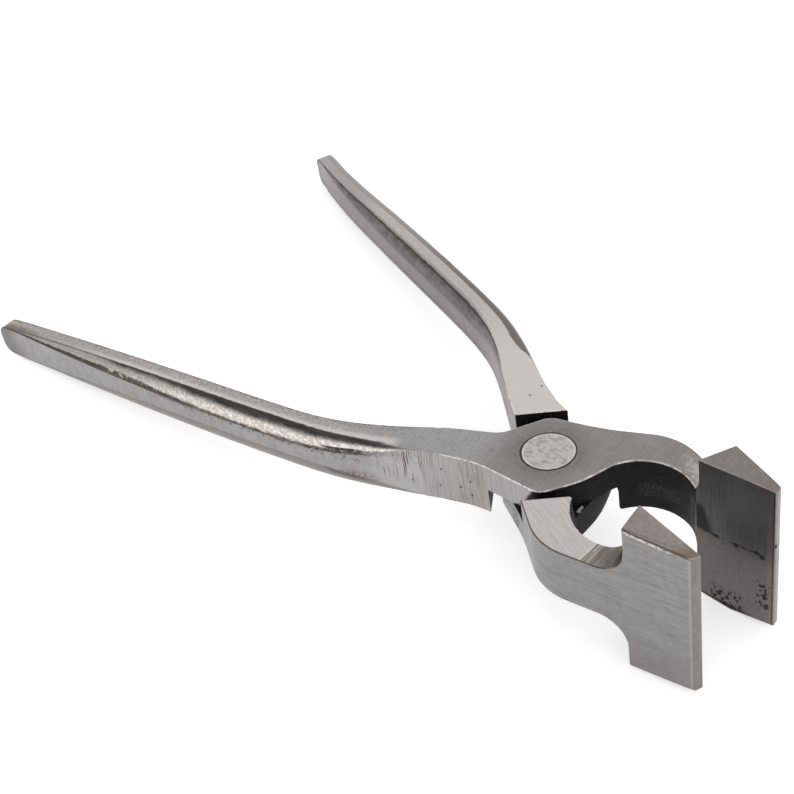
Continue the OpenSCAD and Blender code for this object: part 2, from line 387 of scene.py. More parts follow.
def mapSteel(piece, half):
    mesh = piece.data
    steelMap = mesh.uv_layers.new(name="steelMap")
    handleMap = mesh.uv_layers.new(name="handleMap")
    for poly in mesh.polygons:
        c, n = closedPlace(poly.center, half), closedTurn(poly.normal, half)
        way = surfaces[surfaceOf(c, n, half)][1]
        for loopIndex in poly.loop_indices:
            p = closedPlace(mesh.vertices[mesh.loops[loopIndex].vertex_index].co, half)
            zone = handleZone(p, n, half) if onHandle(c.x) else 0
            handleMap.data[loopIndex].uv = (-p.x / 100, zone / 10)
            if way in ("along", "across"):
                around = -(p.y + handleMiddle(-p.x, half)) if abs(n.z) > 0.9 else 6 - p.z
                u, v = (-p.x, around) if way == "along" else (around, -p.x)
            elif way == "round":
                u, v = p.x, p.z
            else:
                lines = lineDirection(way, half)
                u, v = p.dot(lines), p.dot(n.cross(lines))
            steelMap.data[loopIndex].uv = (u / 100, v / 100)


# Small steps of shading, on masks from 0 to 1 and on places in mm
def times(tree, *masks):
    total = masks[0]
    for mask in masks[1:]:
        total = addNode(tree, "Math", {0: total, 1: mask}, operation="MULTIPLY").outputs[0]
    return total


def plus(tree, a, b):
    return addNode(tree, "Math", {0: a, 1: b}, operation="ADD").outputs[0]


def less(tree, a, b):
    return addNode(tree, "Math", {0: a, 1: b}, operation="SUBTRACT").outputs[0]


def stronger(tree, a, b):
    return addNode(tree, "Math", {0: a, 1: b}, operation="MAXIMUM").outputs[0]


def offFrom(tree, value, centre):
    away = less(tree, value, centre)
    return addNode(tree, "Math", {0: away, 1: 0.0}, operation="ABSOLUTE").outputs[0]


def fade(tree, value, full, gone):
    limits = {"Value": value, "From Min": full, "From Max": gone, "To Min": 1.0, "To Max": 0.0}
    return addNode(tree, "MapRange", limits, interpolation_type="SMOOTHSTEP").outputs["Result"]


def band(tree, value, centre, half, soft):
    return fade(tree, offFrom(tree, value, centre), half, half + soft)


# A noise whose grain has this size in mm: one number, or one for each direction
def noise(tree, where, size, seed, detail=2.0):
    sizes = size if isinstance(size, tuple) else (size,) * 3
    moved = {"Vector": where, "Scale": [1 / s for s in sizes], "Location": (seed, 1.7 * seed, 0.6 * seed)}
    scaled = addNode(tree, "Mapping", moved).outputs["Vector"]
    grain = {"Vector": scaled, "Scale": 1.0, "Detail": detail, "Roughness": 0.6}
    return addNode(tree, "TexNoise", grain).outputs["Fac"]


# Spots and streaks where the noise is strong: the lower the start, the more of them
def patches(tree, where, size, seed, start, soft=0.06, detail=2.0):
    return fade(tree, noise(tree, where, size, seed, detail), start + soft, start)


def wobble(tree, value, where, size, amount, seed):
    swing = times(tree, less(tree, noise(tree, where, size, seed), 0.5), amount)
    return plus(tree, value, swing)


def paint(tree, base, mask, colour):
    node = addNode(tree, "Mix", data_type="RGBA")
    for index, value in ((0, mask), (6, base), (7, colour)):
        if isinstance(value, bpy.types.NodeSocket):
            tree.links.new(value, node.inputs[index])
        else:
            node.inputs[index].default_value = linear(value) if isinstance(value, str) else value
    return node.outputs[2]


# A spot of broken outline at each centre, in closed mm
def spots(tree, at, centres, radius, soft, seed):
    total = None
    for centre in centres:
        away = addNode(tree, "VectorMath", {0: at["closed"], 1: centre}, operation="DISTANCE")
        ragged = wobble(tree, away.outputs["Value"], at["closed"], 0.6, radius * 3.2, seed)
        mask = fade(tree, ragged, radius, radius + soft)
        total = mask if total is None else stronger(tree, total, mask)
    return total


# Places on the steel: closed mm from the object's own coordinates, and the two maps
def places(tree, half):
    own = addNode(tree, "TexCoord").outputs["Object"]
    a = -radians(forging["swing"])
    turn = (0, 0, a) if half == "upper" else (radians(180), 0, a)
    lift = -forging["midZ"] if half == "upper" else forging["midZ"]
    inMm = {"Vector": own, "Scale": (1 / mm,) * 3, "Rotation": turn, "Location": (0, 0, lift)}
    at = {"closed": addNode(tree, "Mapping", inMm).outputs["Vector"]}
    at["x"], at["y"], at["z"] = addNode(tree, "SeparateXYZ", {"Vector": at["closed"]}).outputs
    lineMap = addNode(tree, "UVMap", uv_map="steelMap").outputs["UV"]
    at["lines"] = addNode(tree, "Mapping", {"Vector": lineMap, "Scale": (100, 100, 1)}).outputs["Vector"]
    handleMap = addNode(tree, "UVMap", uv_map="handleMap").outputs["UV"]
    onGrip = addNode(tree, "SeparateXYZ", {"Vector": handleMap}).outputs
    at["along"] = times(tree, onGrip["X"], 100)
    at["zone"] = times(tree, onGrip["Y"], 10)
    return at


def fromPivot(tree, at):
    level = addNode(tree, "VectorMath", {0: at["closed"], 1: (1, 1, 0)}, operation="MULTIPLY")
    return addNode(tree, "VectorMath", {0: level.outputs["Vector"]}, operation="LENGTH").outputs["Value"]


def turnedBy(tree, at, bearing):
    turned = {"Vector": at["closed"], "Angle": radians(-bearing)}
    return addNode(tree, "VectorRotate", turned, rotation_type="Z_AXIS").outputs["Vector"]


# Fine grinding lines that run at a bearing on the flats, in the closed place
def flatLines(tree, at, bearing, length, width, seed):
    return noise(tree, turnedBy(tree, at, bearing), (length, width, 50), seed, 3.0)


# Ground steel: fine lines between a dark and a light tone, larger clouds, and dark specks
def groundCoat(tree, at, look):
    lines = noise(tree, at["lines"], (look["line"][0], look["line"][1], 1), look["seed"], 3.0)
    tone = paint(tree, look["dark"], fade(tree, lines, 0.66, 0.34), look["light"])
    clouds = fade(tree, noise(tree, at["closed"], look["cloud"], look["seed"] + 5), 0.62, 0.4)
    tone = paint(tree, tone, times(tree, clouds, look["cloudShare"]), look["cloudTone"])
    specks = patches(tree, at["closed"], 0.5, look["seed"] + 9, look["speckStart"])
    return paint(tree, tone, times(tree, specks, look["speckShare"]), look["speckTone"]), lines


def steel(name, half, look, marks=None):
    material = bpy.data.materials.new(name)
    material.use_nodes = True
    tree = material.node_tree
    tree.nodes.clear()
    at = places(tree, half)
    tone, lines = groundCoat(tree, at, look)
    if marks:
        tone = marks(tree, at, tone, half)
    grain = noise(tree, at["closed"], look["grain"], look["seed"] + 3, 3.0)
    height = plus(tree, lines, times(tree, grain, look["grainShare"]))
    relief = {"Height": height, "Strength": look["bump"], "Distance": look["depth"] * mm}
    bump = addNode(tree, "Bump", relief).outputs["Normal"]
    spread = {"Value": grain, "From Min": 0.3, "From Max": 0.7,
              "To Min": look["rough"] - 0.05, "To Max": look["rough"] + 0.07}
    rough = addNode(tree, "MapRange", spread).outputs["Result"]
    shader = addNode(tree, "BsdfPrincipled", {
        "Base Color": tone, "Metallic": look["metallic"], "Roughness": rough, "Normal": bump})
    addNode(tree, "OutputMaterial", {"Surface": shader.outputs["BSDF"]})
    return material


# Bare carbon steel off a grinding belt. The lines of the real grit are under 0.1 mm wide, too fine to
# show at this size, so they are drawn 0.3 mm wide. Lengths, widths and depths are in mm.
plain = {
    "dark": "7f7a78", "light": "99948f", "line": (11, 0.3),
    "cloud": 6.0, "cloudTone": "948f8c", "cloudShare": 0.3,
    "speckTone": "5c5654", "speckShare": 0.35, "speckStart": 0.66, "seed": 1.0,
    "grain": 0.6, "grainShare": 0.9, "bump": 0.1, "depth": 0.02, "rough": 0.36, "metallic": 1.0,
}


# The lap's ground face: mid grey, cooler towards the handle, darker round the rivet, where there is a
# dark gap with a few scuffs, and a bright worn streak along the arm's end
def lapMarks(tree, at, across, mottle, specks):
    cool = fade(tree, at["x"], -19, -9)
    valleys = paint(tree, "86817f", cool, "979596")
    ridges = paint(tree, "918c89", cool, "a3a2a3")
    tone = paint(tree, valleys, fade(tree, across, 0.62, 0.38), ridges)
    tone = paint(tree, tone, times(tree, mottle, 0.3), "7a7573")
    tone = paint(tree, tone, times(tree, specks, 0.3), "696462")
    clouds = patches(tree, at["closed"], (7, 4, 7), 18, 0.5, 0.2)
    tone = paint(tree, tone, times(tree, clouds, 0.3), "9d9895")
    ring = fromPivot(tree, at)
    tone = paint(tree, tone, times(tree, fade(tree, ring, 8, 14), 0.6), "7a7572")
    scuffs = patches(tree, at["closed"], (1.6, 0.5, 1), 17, 0.52)
    tone = paint(tree, tone, times(tree, band(tree, ring, 8.2, 0.6, 0.9), scuffs, 0.45), "625d5a")
    wider = times(tree, fade(tree, at["y"], -3, 3), 0.16)
    gap = less(tree, wobble(tree, ring, at["closed"], 1.5, 0.25, 23), wider)
    tone = paint(tree, tone, fade(tree, gap, 7.18, 7.42), "35302e")
    turned = addNode(tree, "SeparateXYZ", {"Vector": turnedBy(tree, at, -45)})
    streak = band(tree, turned.outputs["Y"], 32.9, 0.7, 1.7)
    broken = patches(tree, at["closed"], 1.8, 12, 0.36, 0.25)
    worn = times(tree, streak, fade(tree, turned.outputs["X"], 15, 8), broken)
    return paint(tree, tone, times(tree, worn, 0.6), "c6bfbb")


# The face on the other side of each half: lighter, as it was ground last, with two pits behind the joint
def armMarks(tree, at, across, mottle, specks):
    armLines = flatLines(tree, at, 7, 9, 0.22, 3)
    lines = paint(tree, across, fade(tree, at["x"], 4, -2), armLines)
    bright = paint(tree, "b8b3b0", fade(tree, lines, 0.62, 0.38), "c6c1be")
    bright = paint(tree, bright, times(tree, mottle, 0.22), "a49e9b")
    bright = paint(tree, bright, times(tree, specks, 0.3), "8f8987")
    bright = paint(tree, bright, times(tree, fade(tree, at["x"], -14, 4), 0.5), "d4cecb")
    pits = spots(tree, at, [(-22.1, -8.4, -8), (-23.4, -12.9, -8)], 0.22, 0.2, 2)
    return milledEnd(tree, at, paint(tree, bright, pits, "5a5250"))


# The end of the arm's flat is milled along with the jaw's root: coarse grooves behind a thin bright line
def milledEnd(tree, at, tone):
    turned = turnedBy(tree, at, 71)
    parts = addNode(tree, "SeparateXYZ", {"Vector": turned})
    past = less(tree, times(tree, parts.outputs["Y"], -1), 29.6)
    past = wobble(tree, past, at["closed"], 1.6, 0.5, 114)
    groove = noise(tree, turned, (9, 0.4, 50), 112, 3.0)
    milled = paint(tree, "746d67", fade(tree, groove, 0.6, 0.4), "a69f99")
    milled = paint(tree, milled, times(tree, fade(tree, past, 3.2, 1.5), 0.4), "5a524d")
    tone = paint(tree, tone, fade(tree, past, 0.15, -0.05), milled)
    return paint(tree, tone, times(tree, band(tree, past, -0.05, 0.1, 0.15), 0.6), "dbd5d0")


def topFlatMarks(tree, at, tone, half):
    across = flatLines(tree, at, 95, 9, 0.22, 11)
    mottle = patches(tree, at["closed"], (1.3, 0.8, 1.3), 19, 0.5, 0.14)
    specks = patches(tree, at["closed"], 0.45, 9, 0.58, 0.1)
    lapSide = fade(tree, at["z"], 1, -1)
    arm = armMarks(tree, at, across, mottle, specks)
    tone = paint(tree, arm, lapSide, lapMarks(tree, at, across, mottle, specks))
    return gripMarks(tree, at, tone, lapSide, specks)


# Along the grip the flats are light and speckled between the bevels
def gripMarks(tree, at, tone, lapSide, specks):
    grains = noise(tree, at["closed"], (0.6, 1.0, 1.0), 30, 3.0)
    light = paint(tree, "9c9693", fade(tree, grains, 0.6, 0.4), "b7b1ae")
    dots = patches(tree, at["closed"], 0.7, 36, 0.58, 0.08)
    light = paint(tree, light, times(tree, stronger(tree, specks, dots), 0.55), "78716f")
    lapGrip = lapSideGrip(tree, at, tone, light)
    return paint(tree, otherSideGrip(tree, at, tone, light), lapSide, lapGrip)


# On the lap's side there is a bright worn rim, and the dark of the bevel at the outer edge.
# The grey root runs out where the bevels draw the flat in.
def lapSideGrip(tree, at, tone, light):
    along, zone = at["along"], wobble(tree, at["zone"], at["closed"], 1.4, 0.2, 31)
    start = plus(tree, along, times(tree, at["zone"], 7))
    tone = paint(tree, tone, fade(tree, wobble(tree, start, at["closed"], 2.5, 4, 4), 53, 41), light)
    scale = patches(tree, at["closed"], 0.7, 8, 0.5, 0.1)
    inner = times(tree, fade(tree, zone, -0.95, -0.2), fade(tree, along, 38, 34), scale)
    tone = paint(tree, tone, times(tree, inner, 0.7), "5b5553")
    rim = times(tree, fade(tree, zone, 0.6, 0.0), fade(tree, along, 39, 35), fade(tree, along, 135, 158))
    tone = paint(tree, tone, times(tree, rim, 0.55), "dcd8d4")
    innerLine = times(tree, fade(tree, zone, -1.0, -0.86), fade(tree, along, 50, 44), 0.75)
    tone = paint(tree, tone, innerLine, "4a4543")
    dark = times(tree, fade(tree, zone, 0.94, 0.76), fade(tree, along, 42, 36))
    tone = paint(tree, tone, dark, "47423f")
    end = times(tree, fade(tree, along, 180, 164), fade(tree, zone, 0.5, -0.4))
    return paint(tree, tone, times(tree, end, 0.75), "66605f")


# The other side turns greyer at its end, with a strip of the bevel's grey and a thin dark line outside
def otherSideGrip(tree, at, tone, light):
    along = at["along"]
    tone = paint(tree, tone, fade(tree, along, 75, 38), paint(tree, light, 0.5, "c4beba"))
    tone = paint(tree, tone, times(tree, fade(tree, along, 148, 132), 0.6), "979290")
    out = wobble(tree, at["zone"], at["closed"], 2.2, 0.08, 32)
    edgeAt = less(tree, 0.98, times(tree, fade(tree, along, 47, 34), 0.56))
    past = less(tree, out, edgeAt)
    strip = times(tree, fade(tree, past, 0.05, -0.02), fade(tree, along, 36, 34))
    tone = paint(tree, tone, strip, paint(tree, "736e6c", fade(tree, along, 140, 70), "9c9795"))
    line = times(tree, band(tree, past, 0.0, 0.015, 0.05), fade(tree, along, 42, 37), 0.5)
    return paint(tree, tone, line, "45403e")


# Outer bevel: a dark band under the flat, then a bright pitted band, with a brown-black line below.
# The two bands are partly forged skin and wear, partly painted reflection: painted shade in the dark
# band, a painted highlight in the bright one. All three close to a point at the root, with a golden brown
# rim.
def outerBevelMarks(tree, at, tone, half):
    along = at["along"]
    zone = wobble(tree, wobble(tree, at["zone"], at["closed"], 4, 0.2, 33), at["closed"], 0.9, 0.14, 34)
    brightAt = less(tree, 1.68, times(tree, fade(tree, along, 118, 88), 0.2))
    brightAt = less(tree, brightAt, times(tree, fade(tree, along, 150, 130), 0.2))
    brightAt = plus(tree, brightAt, times(tree, fade(tree, along, 40, 52), 0.1))
    offBright = offFrom(tree, zone, brightAt)
    # Painted highlight on worn steel: lighter round the bright band, glowing and sparkling on it, dimmer
    # towards the end
    tone = paint(tree, tone, fade(tree, offBright, 0.2, 0.48), "a49e9a")
    sparkle = patches(tree, at["closed"], (0.9, 0.7, 0.7), 14, 0.45, 0.16)
    dimmerAtEnd = less(tree, 1, times(tree, fade(tree, along, 150, 85), 0.8))
    glow = times(tree, fade(tree, offBright, 0.12, 0.34), dimmerAtEnd)
    tone = paint(tree, tone, glow, "bbb3ad")
    tone = paint(tree, tone, times(tree, glow, sparkle, 0.85), "e9e2dc")
    pits = patches(tree, at["closed"], (1.2, 0.9, 1.0), 27, 0.47, 0.08)
    below = fade(tree, less(tree, zone, brightAt), 0.36, 0.18)
    below = times(tree, below, pits, fade(tree, along, 128, 108))
    tone = paint(tree, tone, times(tree, below, 0.9), "4a3d36")
    lineAt = less(tree, 2.06, times(tree, fade(tree, along, 132, 98), 0.36))
    broken = patches(tree, at["closed"], 2.2, 29, 0.34, 0.16)
    seam = times(tree, band(tree, zone, lineAt, 0.07, 0.14), broken)
    tone = paint(tree, tone, times(tree, seam, 0.9), "3f3632")
    tone = paint(tree, tone, times(tree, fade(tree, along, 33, 39), 0.8), "a39b95")
    gold = patches(tree, at["closed"], 0.8, 52, 0.46, 0.1)
    tone = paint(tree, tone, times(tree, fade(tree, along, 36, 42), gold, 0.45), "8a7663")
    tone = paint(tree, tone, times(tree, fade(tree, along, 182, 166), 0.75), "615d5b")
    hidden = fade(tree, at["z"], -1, 1) if half == "upper" else fade(tree, at["z"], 1, -1)
    return paint(tree, tone, hidden, "827e7c")


# Outer side: even blue grey with a dark seam on top, streaks near the root and a brown pitted patch
def outerSideMarks(tree, at, tone, half):
    along = at["along"]
    zone = wobble(tree, at["zone"], at["closed"], 1.4, 0.22, 35)
    near = fade(tree, along, 98, 128)
    tone = paint(tree, tone, times(tree, fade(tree, zone, 2.1, 2.6), near, 0.35), "6f6b6b")
    seam = times(tree, fade(tree, zone, 2.13, 2.3), fade(tree, along, 48, 36))
    broken = patches(tree, at["closed"], (1.8, 1.8, 1.4), 26, 0.4, 0.12)
    tone = paint(tree, tone, times(tree, seam, near, broken, 0.95), "3f3632")
    thin = times(tree, band(tree, zone, 2.12, 0.03, 0.07), fade(tree, along, 36.5, 34))
    tone = paint(tree, tone, times(tree, thin, near, 0.8), "4a423f")
    ragged = patches(tree, at["closed"], (1.1, 1.1, 0.9), 28, 0.54, 0.05)
    ragged = times(tree, fade(tree, zone, 2.2, 3.0), near, ragged)
    tone = paint(tree, tone, times(tree, ragged, 0.8), "4a3d36")
    tone = paint(tree, tone, times(tree, fade(tree, at["zone"], 3.98, 3.93), 0.7), "4c4744")
    tone = paint(tree, tone, times(tree, fade(tree, along, 38, 48), 0.6), "b0aeac")
    tone = paint(tree, tone, times(tree, fade(tree, along, 186, 174), 0.75), "5f5d5d")
    streaks = patches(tree, at["lines"], (9, 0.32, 1), 61, 0.56, 0.05)
    streaks = times(tree, streaks, fade(tree, along, 39, 43), fade(tree, zone, 3.0, 3.8), 0.85)
    tone = paint(tree, tone, streaks, "4b4644")
    patch = times(tree, band(tree, along, 47.5, 3.5, 3.5), fade(tree, zone, 3.9, 3.2),
                  patches(tree, at["closed"], 0.7, 62, 0.46, 0.08))
    tone = paint(tree, tone, times(tree, patch, 0.7), "6a5a50")
    pits = spots(tree, at, [(-32.6, -17.2, -2.8), (-104, -25, -1.2), (-119, -26, 0.4)], 0.28, 0.25, 3)
    return paint(tree, tone, times(tree, pits, 0.8), "453d39")


# Inner bevel: dark, with a light root, the flat's light edge, a thin dark line under that and a faint
# line above the side
def innerBevelMarks(tree, at, tone, half):
    along = at["along"]
    zone = wobble(tree, times(tree, at["zone"], -1), at["closed"], 1.4, 0.14, 37)
    root = times(tree, fade(tree, zone, 1.2, 1.5), fade(tree, along, 34, 42))
    tone = paint(tree, tone, root, "c6c1bd")
    rim = times(tree, band(tree, zone, 1.2, 0.04, 0.08), fade(tree, along, 48, 42))
    tone = paint(tree, tone, times(tree, rim, 0.75), "433e3c")
    flatEdge = paint(tree, "b9b3b0", fade(tree, along, 75, 45), "a39d9a")
    tone = paint(tree, tone, fade(tree, zone, 1.09, 1.16), flatEdge)
    return paint(tree, tone, times(tree, band(tree, zone, 1.93, 0.06, 0.16), 0.35), "4c4846")


# Inner side: darker along its upper and lower edges and at the root
def innerSideMarks(tree, at, tone, half):
    zone = times(tree, at["zone"], -1)
    tone = paint(tree, tone, times(tree, fade(tree, zone, 2.05, 2.5), 0.6), "6c6866")
    tone = paint(tree, tone, times(tree, fade(tree, zone, 3.85, 3.4), 0.5), "6d6967")
    return paint(tree, tone, times(tree, fade(tree, at["along"], 34, 52), 0.75), "625e5c")


# Flank beside the joint: a few deep upright scratches, a brown stain and pits, black at its front end
def flankMarks(tree, at, tone, half):
    scratch = patches(tree, at["lines"], (8, 0.3, 1), 71, 0.57, 0.04)
    where = stronger(tree, fade(tree, at["x"], -28, -25), band(tree, at["x"], -16.2, 2.6, 0.8))
    tone = paint(tree, tone, times(tree, scratch, where, fade(tree, at["z"], 4, -2), 0.6), "55504d")
    stain = patches(tree, at["lines"], (7, 0.6, 1), 73, 0.44, 0.12)
    stain = times(tree, band(tree, at["x"], -16, 3.2, 1.5), stain)
    tone = paint(tree, tone, times(tree, stain, 0.5), "85786d")
    pitPlaces = [(-24.3, -14.6, 2.7), (-25.1, -14.9, -3.1), (-16.3, -13.1, 0.5), (-19.3, -13.6, -2.2),
                 (-16.3, -13.1, -4.1)]
    pits = spots(tree, at, pitPlaces, 0.24, 0.25, 3)
    tone = paint(tree, tone, times(tree, pits, 0.85), "453d39")
    slanted = less(tree, at["x"], times(tree, at["z"], 0.55))
    front = fade(tree, wobble(tree, slanted, at["closed"], 1.0, 1.4, 74), 0.7, -0.5)
    return paint(tree, tone, front, "1b1a1b")


# Forge scale: a faint jagged parting line half way up with a greyer patch beside it, worn lighter near
# the jaw, and a painted highlight at one spot by the shoulder, where its corner catches the light
def scaleMarks(tree, at, tone, half):
    grains = patches(tree, at["closed"], 0.5, 81, 0.56, 0.08)
    tone = paint(tree, tone, times(tree, grains, 0.45), "383739")
    pits = patches(tree, at["closed"], 1.2, 87, 0.55, 0.08)
    tone = paint(tree, tone, times(tree, pits, 0.6), "070707")
    jagged = wobble(tree, at["z"], at["closed"], 2.2, 1.6, 82)
    parting = times(tree, band(tree, jagged, 0.6, 0.05, 0.25), fade(tree, at["x"], 22, 19))
    tone = paint(tree, tone, times(tree, parting, 0.7), "060606")
    beside = times(tree, band(tree, jagged, -1.6, 1.6, 1.2), band(tree, at["x"], 27, 4, 3))
    tone = paint(tree, tone, times(tree, beside, patches(tree, at["closed"], 0.5, 86, 0.46), 0.4), "565455")
    worn = patches(tree, at["closed"], (1.2, 1.2, 8), 83, 0.38, 0.2)
    worn = times(tree, fade(tree, at["x"], 38, 35.4), worn, fade(tree, at["z"], 1, 6))
    tone = paint(tree, tone, times(tree, worn, 0.6), "7a7573")
    # Painted highlight: bright spots by the shoulder, where its corner catches the light
    paintedHighlight = spots(tree, at, [(14.9, 0.6, 0.1), (15.2, 1.3, 0.1), (15.6, 2.0, 0.1)], 0.35, 0.25, 4)
    return paint(tree, tone, paintedHighlight, "d3ccc6")


# Jaw's inner face: dark, with the forging's parting line across it, blots along the line and pits below
def jawFaceMarks(tree, at, tone, half):
    hand = 1 if half == "upper" else -1
    up = times(tree, at["z"], hand)
    streaks = patches(tree, at["lines"], (14, 0.7, 1), 90, 0.46, 0.16)
    tone = paint(tree, tone, times(tree, streaks, 0.2), "6f6d6d")
    tone = paint(tree, tone, times(tree, fade(tree, up, 16, 2), fade(tree, at["x"], 56, 46), 0.7), "7f7c7d")
    tone = paint(tree, tone, times(tree, fade(tree, at["x"], 61.2, 60), 0.5), "787370")
    tone = paint(tree, tone, times(tree, fade(tree, up, -4, 4), 0.6), "76726f")
    line = wobble(tree, wobble(tree, up, at["closed"], 2.2, 1.6, 91), at["closed"], 0.5, 0.7, 98)
    broken = patches(tree, at["closed"], 1.5, 92, 0.42, 0.08)
    parting = times(tree, band(tree, line, 0.2, 0.1, 0.3), broken, fade(tree, at["x"], 59, 61), 0.9)
    tone = paint(tree, tone, parting, "1d1b1b")
    corner = fade(tree, plus(tree, at["x"], times(tree, up, 0.35)), 45.0, 46.8)
    black = times(tree, corner, fade(tree, up, 7, 9.5), fade(tree, up, 0.6, -0.2))
    tone = paint(tree, tone, times(tree, black, 0.9), "201f21")
    blotPlaces = [(46.7, 1.2, -0.1 * hand), (52.2, 0.8, -0.1 * hand), (57.8, 0.4, 0.5 * hand),
                  (59.0, 0.3, -0.3 * hand)]
    blots = spots(tree, at, blotPlaces, 0.5, 0.5, 6)
    tone = paint(tree, tone, times(tree, blots, 0.9), "1b1919")
    pits = patches(tree, at["closed"], (1.1, 1.1, 1.3), 95, 0.53, 0.03)
    low = times(tree, band(tree, at["x"], 49.5, 3.6, 2.0), fade(tree, up, -18.6, -15.5))
    tipSide = times(tree, band(tree, at["x"], 59.6, 1.2, 1.0), band(tree, up, -13.5, 3.4, 3.0))
    tone = paint(tree, tone, times(tree, pits, stronger(tree, low, tipSide), 0.95), "191615")
    dust = patches(tree, at["closed"], 0.5, 99, 0.55, 0.08)
    tone = paint(tree, tone, times(tree, dust, fade(tree, up, -1, 3), 0.35), "2c2827")
    down = wobble(tree, times(tree, up, -1), at["closed"], 1.4, 0.8, 96)
    rim = times(tree, fade(tree, down, 22.2, 21.2), fade(tree, at["x"], 52, 58))
    tone = paint(tree, tone, times(tree, rim, 0.85), "1d1a1a")
    tip = band(tree, wobble(tree, at["x"], at["closed"], 1.4, 0.3, 97), 62.1, 0.08, 0.2)
    return paint(tree, tone, times(tree, tip, 0.8), "35302d")


# Jaw's outer face: a dark line and a bright worn band under its top edge, a little darker low down and
# lighter at the tip. The near jaw's arm is dirty where it meets the joint.
def jawOuterMarks(tree, at, tone, half):
    hand = 1 if half == "upper" else -1
    up = times(tree, at["z"], hand)
    topEdge = plus(tree, 23.3, times(tree, less(tree, at["x"], 48), -0.12))
    edge = wobble(tree, less(tree, topEdge, up), at["closed"], 1.2, 0.35, 101)
    broken = patches(tree, at["closed"], 1.0, 102, 0.44, 0.1)
    worn = times(tree, band(tree, edge, 0.75, 0.25, 0.4), fade(tree, at["x"], 55, 60), broken)
    tone = paint(tree, tone, times(tree, worn, 0.75), "d2ccc8")
    tone = paint(tree, tone, times(tree, fade(tree, edge, 0.3, 0.55), 0.85), "4a3d36")
    tone = paint(tree, tone, times(tree, fade(tree, up, -18, -8), 0.4), "7b7776")
    if half == "lower":
        dirt = patches(tree, at["closed"], 1.1, 104, 0.45, 0.1)
        dirt = times(tree, band(tree, at["x"], 4.0, 1.0, 2.4), dirt)
        tone = paint(tree, tone, times(tree, dirt, 0.9), "2e2a29")
    tip = fade(tree, at["x"], 61.9, 61.3)
    return paint(tree, tone, times(tree, tip, 0.35), "aaa5a2")


# Jaw's root: the cutter's grooves, darker where the round rises into the jaw
def filletMarks(tree, at, tone, half):
    height = addNode(tree, "Math", {0: at["z"], 1: 0.0}, operation="ABSOLUTE").outputs[0]
    deep = fade(tree, height, 11.5, 9.2)
    groove = patches(tree, at["lines"], (12, 0.55, 1), 111, 0.46, 0.12)
    tone = paint(tree, tone, times(tree, groove, 0.6), "564e49")
    return paint(tree, tone, times(tree, deep, 0.6), "3c3532")


# Jaw's end: mottled, and browned towards the tip, more so on the near jaw
def jawEndMarks(tree, at, tone, half):
    tip = fade(tree, wobble(tree, at["x"], at["closed"], 2.5, 3, 121), 60.8, 57)
    mottle = patches(tree, at["closed"], 1.1, 122, 0.5, 0.12)
    tone = paint(tree, tone, times(tree, mottle, 0.25), "716a67")
    return paint(tree, tone, times(tree, tip, 0.7 if half == "lower" else 0.3), "7a6249")


# Jaw's tip: light streaks, and one dark nick on the far jaw
def tipMarks(tree, at, tone, half):
    streaks = patches(tree, at["lines"], (9, 0.7, 1), 131, 0.5, 0.14)
    tone = paint(tree, tone, times(tree, streaks, 0.2), "9c9693")
    if half == "lower":
        return tone
    nick = spots(tree, at, [(62.8, 0.4, 5.2)], 0.4, 0.3, 9)
    return paint(tree, tone, times(tree, nick, 0.95), "1f1c1b")


def wornMarks(tree, at, tone, half):
    thin = patches(tree, at["closed"], 1.6, 141, 0.5, 0.1)
    return paint(tree, tone, times(tree, thin, 0.7), "8f8a87")


